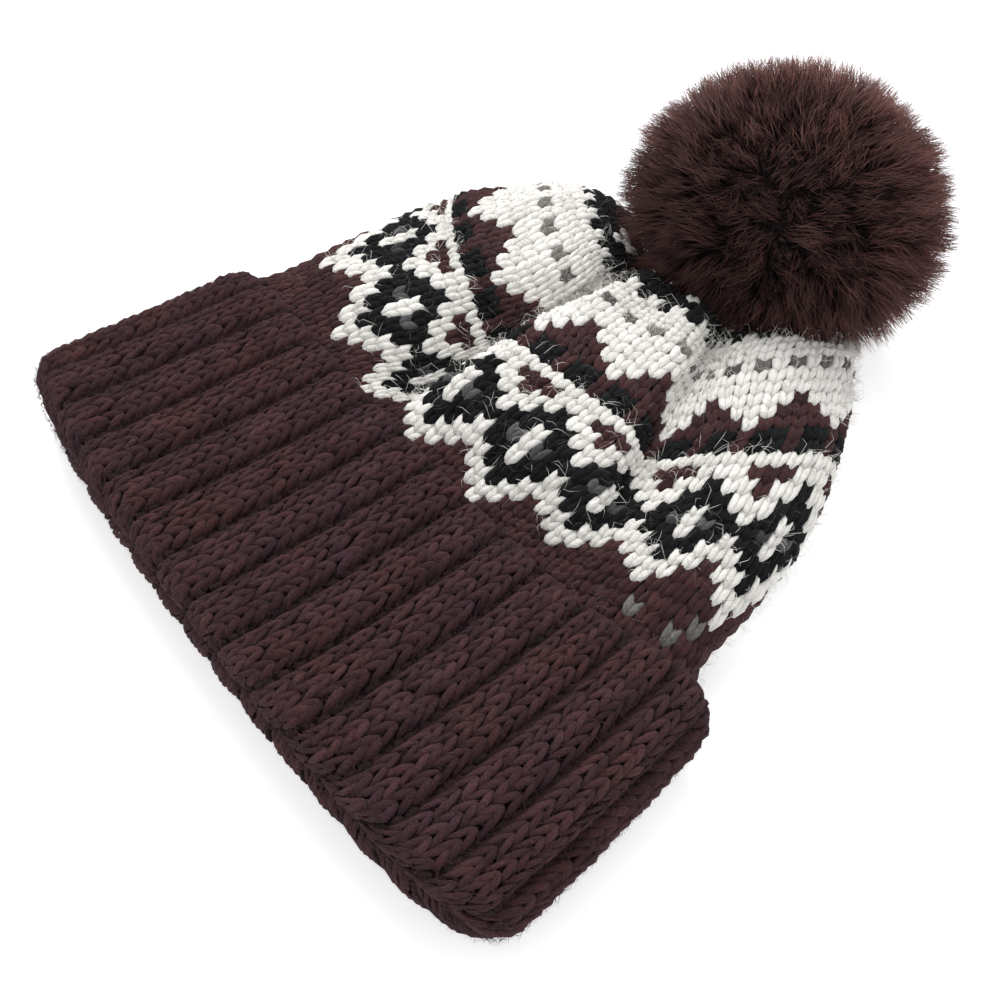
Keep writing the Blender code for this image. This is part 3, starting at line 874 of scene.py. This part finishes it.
def fur():
    """The pompom: clumped hairs over a core painted near black as the shade inside the fur."""
    middle = pompom_middle() + SHIFT
    scale = np.array([POMPOM_WIDTH / 2.0, POMPOM_WIDTH / 2.0, POMPOM_HEIGHT / 2.0])
    look = material("fur", 0.65, 0.02, 0.0, 3.0)
    core_mesh = bpy.data.meshes.new("pompom_core")
    bm = bmesh.new()
    bmesh.ops.create_icosphere(bm, subdivisions=4, radius=1.0)
    tone = bm.verts.layers.float_color.new("tone")
    for vert in bm.verts:
        vert[tone] = (*FUR_ROOT_SHADED, 1.0)
        vert.co = Vector(middle + np.array(vert.co) * scale * CORE_SHARE)
    bm.to_mesh(core_mesh)
    bm.free()
    core_mesh.uv_layers.new(name="UVMap")
    core_mesh.materials.append(look)
    core_mesh.shade_smooth()
    core = bpy.data.objects.new("pompom_core", core_mesh)
    bpy.context.scene.collection.objects.link(core)

    index = np.arange(HAIRS) + 0.5
    height = 1.0 - 2.0 * index / HAIRS
    turn = math.pi * (1.0 + 5.0 ** 0.5) * index
    flat = np.sqrt(1.0 - height ** 2)
    out = np.stack([flat * np.cos(turn), flat * np.sin(turn), height], axis=1)
    out += rng.normal(size=out.shape) * 0.02
    out /= np.linalg.norm(out, axis=1)[:, None]
    out = out[(out[:, 2] > -0.5) | (rng.random(HAIRS) < 0.35)]
    total = len(out)
    seeds = rng.normal(size=(CLUMPS, 3))
    seeds /= np.linalg.norm(seeds, axis=1)[:, None]
    nearest = np.argmax(out @ seeds.T, axis=1)
    lean = seeds + rng.normal(size=seeds.shape) * 0.12
    lean /= np.linalg.norm(lean, axis=1)[:, None]
    aim = lean[nearest] + rng.normal(size=out.shape) * 0.10
    reach = 0.985 + 0.05 * rng.random(CLUMPS)[nearest] + 0.035 * rng.normal(size=total)
    reach = np.clip(reach, 0.86, 1.07) + 0.05 * (rng.random(total) < 0.06)
    for hang in HANGS:
        reach += hang.reach * np.clip(out @ np.array(hang[:3]), 0.0, 1.0) ** 3
    start = out * ROOT_SHARE
    goal = out * 0.64 + aim * 0.36
    goal = goal / np.linalg.norm(goal, axis=1)[:, None] * reach[:, None]
    bend = out * (0.5 * (ROOT_SHARE + reach))[:, None] + rng.normal(size=out.shape) * 0.012
    bend[:, 2] -= 0.01
    goal[:, 2] = np.maximum(goal[:, 2], -0.985)

    def path(share):
        s = share[None, :, None]
        unit = start[:, None] * (1 - s) ** 2 + 2 * bend[:, None] * s * (1 - s) + goal[:, None] * s ** 2
        placed = middle + unit * scale
        placed[..., 2] = np.maximum(placed[..., 2], 0.0004)
        return placed

    tint = 1.0 + rng.normal(size=(CLUMPS, 1))[nearest] * 0.22 + rng.normal(size=(total, 1)) * 0.35
    # Painted shade and light: hairs facing the crown are darkened to 0.8 and the others lightened up to 1.5
    # times.
    away = np.clip(1.35 + 0.55 * out[:, 1:2], 0.8, 1.5)     # paler away from the crown
    tint = np.clip(tint, 0.25, 2.2) * away
    root_tones = np.repeat(FUR_ROOT_SHADED[None], total, axis=0) * tint
    tip_tones = FUR_TIP * tint * (1.0 + rng.normal(size=(total, 3)) * 0.08)
    radius = np.full(total, HAIR_RADIUS)
    first = total // 2
    order = rng.permutation(total)
    made = [core]
    for part, chosen in (("a", order[:first]), ("b", order[first:])):
        made.append(strands(
            "pompom_fur_" + part, start[chosen], lambda share, c=chosen: path(share)[c],
            radius[chosen], root_tones[chosen], tip_tones[chosen], look, 2))
    return made


def fuzz(surface, name, rows, columns, tones, length, size, drop, levels):
    """Loose curly fibres standing out of the knit."""
    count = len(rows)
    root = surface.place(rows, columns, np.zeros(count) + drop)
    normal = surface.place(rows, columns, np.zeros(count) + drop + 0.001) - root
    normal /= np.linalg.norm(normal, axis=1)[:, None]
    side = np.cross(normal, rng.normal(size=(count, 3)))
    side /= np.linalg.norm(side, axis=1)[:, None]
    other = np.cross(normal, side)
    long = length * rng.uniform(0.5, 1.5, size=(count, 1, 1))
    curl = rng.uniform(0.4, 1.7, size=(count, 1))
    phase = rng.uniform(0.0, math.tau, size=(count, 1))

    def path(share):
        s = share[None, :]
        angle = phase + curl * s
        rise = (np.sin(s * math.pi * 0.75) * 0.55)[..., None]
        sway = (np.sin(angle) - np.sin(phase))[..., None] / curl[..., None]
        swing = (np.cos(phase) - np.cos(angle))[..., None] / curl[..., None]
        return root[:, None] + long * (
            normal[:, None] * rise + side[:, None] * sway + other[:, None] * swing)

    look = material("wool_" + name, 0.9, 0.05, 0.0, 3.0)
    return strands(name, root, path, np.zeros(count) + size, tones, tones, look, levels)


def crown_fibres(surface):
    """Fibres of the crown: thick on the white stitches, thin and sparse on the dark ones."""
    rows = rng.uniform(-4.0, 25.0, CROWN_FIBRES)
    columns = rng.uniform(-STITCHES / 2, STITCHES / 2, CROWN_FIBRES)
    tip = surface.place(rows, columns, np.zeros(CROWN_FIBRES)) - SHIFT
    kept = (tip[:, 1] > level(tip[:, 0], CUFF_HEIGHT) + 0.001) & (tip[:, 2] > 0.004)
    rows, columns = rows[kept], columns[kept]
    pale = rng.uniform(0.03, 0.30, size=(len(rows), 1)) * np.array([1.0, 0.93, 0.86])
    white = np.array([
        stitch_kind(int(math.floor(row - 0.7)), round(column)) == "W"
        for row, column in zip(rows, columns)
    ])
    tones = np.where(white[:, None], WHITE * rng.uniform(0.8, 1.0, size=(len(rows), 1)), pale)
    kept = white | (rng.random(len(rows)) < 0.55)
    size = np.where(white, WHITE_FIBRE_SIZE, DARK_FIBRE_SIZE)[kept]
    return fuzz(
        surface, "crown_fuzz", rows[kept], columns[kept], tones[kept],
        CROWN_FIBRE_LENGTH, size, FIBRE_ROOT, 2)


def cuff_fibres(band):
    """Short straight fibres of the cuff, left out where they would reach the floor."""
    rows = rng.uniform(0.004, 0.101, CUFF_FIBRES)
    columns = rng.uniform(0.0, RIB_COUNT, CUFF_FIBRES)
    kept = band.place(rows, columns, np.zeros(CUFF_FIBRES))[:, 2] > 0.010
    rows, columns = rows[kept], columns[kept]
    brown = rng.uniform(0.4, 1.6, size=(len(rows), 1)) * CUFF_TONE
    drop = FIBRE_ROOT + rib_relief(rows, columns)
    return fuzz(
        band, "cuff_fuzz", rows, columns, brown, CUFF_FIBRE_LENGTH, CUFF_FIBRE_SIZE, drop, 1)


def camera():
    made = bpy.data.cameras.new("camera")
    made.lens = CAMERA_LENS
    made.sensor_width = 36.0
    made.clip_start = 0.01
    made.clip_end = 20.0
    thing = bpy.data.objects.new("camera", made)
    right = Vector(CAMERA_RIGHT).normalized()
    up = -Vector(CAMERA_DOWN).normalized()
    back = right.cross(up).normalized()
    up = back.cross(right)
    turn = Matrix((right, up, back)).transposed().to_4x4()
    thing.matrix_world = Matrix.Translation(Vector(CAMERA_PLACE) + Vector(SHIFT)) @ turn
    bpy.context.scene.collection.objects.link(thing)
    bpy.context.scene.camera = thing


def stage():
    mesh = bpy.data.meshes.new("floor")
    bm = bmesh.new()
    bmesh.ops.create_grid(bm, x_segments=1, y_segments=1, size=3.0)
    bm.to_mesh(mesh)
    bm.free()
    look = bpy.data.materials.new("floor")
    look.use_nodes = True
    shader = look.node_tree.nodes["Principled BSDF"]
    shader.inputs["Base Color"].default_value = (0.95, 0.95, 0.96, 1.0)
    shader.inputs["Emission Color"].default_value = (1.0, 1.0, 1.0, 1.0)
    shader.inputs["Emission Strength"].default_value = FLOOR_GLOW
    shader.inputs["Roughness"].default_value = 1.0
    shader.inputs["Specular IOR Level"].default_value = 0.0
    mesh.materials.append(look)
    floor = bpy.data.objects.new("floor", mesh)
    floor.location.z = -0.0002
    bpy.context.scene.collection.objects.link(floor)
    lamp = bpy.data.lights.new("key", "AREA")
    lamp.shape = "DISK"
    lamp.size = KEY_SIZE
    lamp.energy = KEY_POWER
    key = bpy.data.objects.new("key", lamp)
    key.location = KEY_PLACE
    key.rotation_mode = "QUATERNION"
    key.rotation_quaternion = key.location.to_track_quat("Z", "Y")
    bpy.context.scene.collection.objects.link(key)
    world = bpy.data.worlds.new("studio")
    bpy.context.scene.world = world
    world.use_nodes = True
    world.node_tree.nodes["Background"].inputs["Color"].default_value = (1.0, 1.0, 1.0, 1.0)
    world.node_tree.nodes["Background"].inputs["Strength"].default_value = SKY_STRENGTH
    bpy.context.scene.view_settings.view_transform = "Standard"


def main():
    camera()
    stage()
    surface, sheet, base_rows = crown_surface()
    band = cuff_surface()
    crown = list(knit_crown(surface).values()) + [crown_base(sheet, base_rows)]
    cuff = list(knit_cuff(band)) + [cuff_base()]
    pompom = fur()
    crown.append(crown_fibres(surface))
    cuff.append(cuff_fibres(band))
    for group, node, slot in (
        (crown, "crown", "patterned_wool"), (cuff, "cuff", "ribbed_wool"), (pompom, "pompom", "pompom_fur"),
    ):
        for piece in group:
            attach(piece, "root")
        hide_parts(node)


main()
